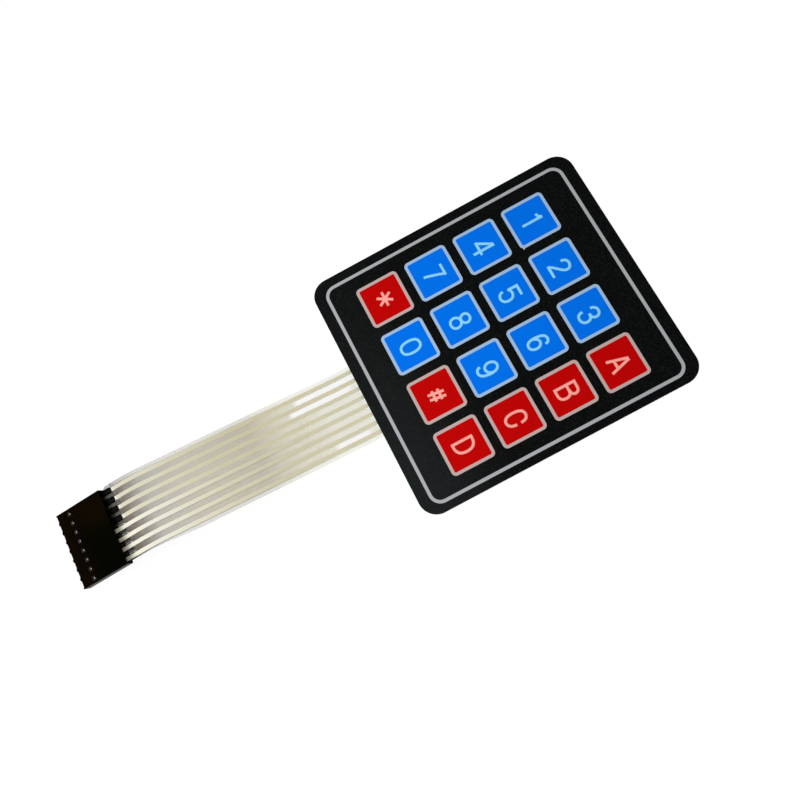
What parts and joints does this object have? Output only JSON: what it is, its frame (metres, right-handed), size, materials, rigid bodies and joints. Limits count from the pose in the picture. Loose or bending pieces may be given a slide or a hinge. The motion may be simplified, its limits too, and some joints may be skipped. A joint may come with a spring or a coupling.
{
  "type": "membrane matrix keypad",
  "caption": "Thin adhesive-backed membrane keypad with a square grid of printed keys and a flat film tail that ends in a crimped pin socket connector.",
  "frame": {"origin": "centre of the pad's back face, the face of the release liner", "axes": "+Z out of the printed face, +Y towards the first row of keys, the tail leaves towards -Y, +X towards the last column"},
  "size_m": [0.0692, 0.1604, 0.0098],
  "materials": {
    "overlay": "fine velvet matte",
    "grey_print": "matte screen print",
    "blue_print": "matte screen print",
    "red_print": "matte screen print",
    "white_print": "matte screen print of the key legends",
    "clear_film": "clear polyester film",
    "spacer_film": "clear double-sided adhesive film",
    "silver_ink": "printed silver ink",
    "adhesive": "acrylic adhesive",
    "liner": "coated release paper",
    "housing": "moulded, slightly glossy",
    "contact_metal": "tin plated"
  },
  "bodies": {
    "root": {"release_liner": "liner", "rear_adhesive": "adhesive", "lower_circuit": "clear_film", "row_tracks": "silver_ink", "spacer": "spacer_film", "column_tracks": "silver_ink", "upper_circuit": "clear_film", "overlay_adhesive": "adhesive", "graphic_overlay": "overlay", "border_line": "grey_print", "key_frames": "grey_print", "blue_key_fields": "blue_print", "red_key_fields": "red_print", "connector_housing": "housing", "contact_1": "contact_metal", "contact_2": "contact_metal", "contact_3": "contact_metal", "contact_4": "contact_metal", "contact_5": "contact_metal", "contact_6": "contact_metal", "contact_7": "contact_metal", "contact_8": "contact_metal"}
  },
  "joints": []
}
